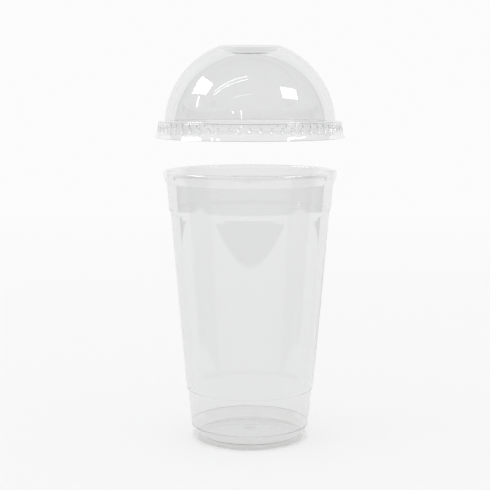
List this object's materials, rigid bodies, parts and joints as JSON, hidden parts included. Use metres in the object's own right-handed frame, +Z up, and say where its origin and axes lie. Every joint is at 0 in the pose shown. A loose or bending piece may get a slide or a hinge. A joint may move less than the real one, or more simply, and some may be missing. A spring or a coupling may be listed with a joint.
{
  "type": "plastic cup with lid",
  "caption": "Clear plastic cold-drink cup with a rolled rim, stepped taper and raised base, and a domed lid with a ribbed skirt that grips the rim and a sunken top with a straw hole.",
  "frame": {"origin": "centre of the foot, on the surface the cup stands on", "axes": "+Z up along the cup's axis, +X to the right and -Y towards the viewer of the picture"},
  "size_m": [0.1068, 0.1068, 0.2233],
  "materials": {
    "clear_plastic": "clear, glossy, thermoformed"
  },
  "bodies": {
    "cup": {"cup": "clear_plastic"},
    "lid": {"dome_lid": "clear_plastic"}
  },
  "joints": [
    {"name": "lid_lift", "type": "slide", "parent": "cup", "child": "lid", "axis": [0, 0, 1], "range_m": [-0.027, 0]}
  ]
}
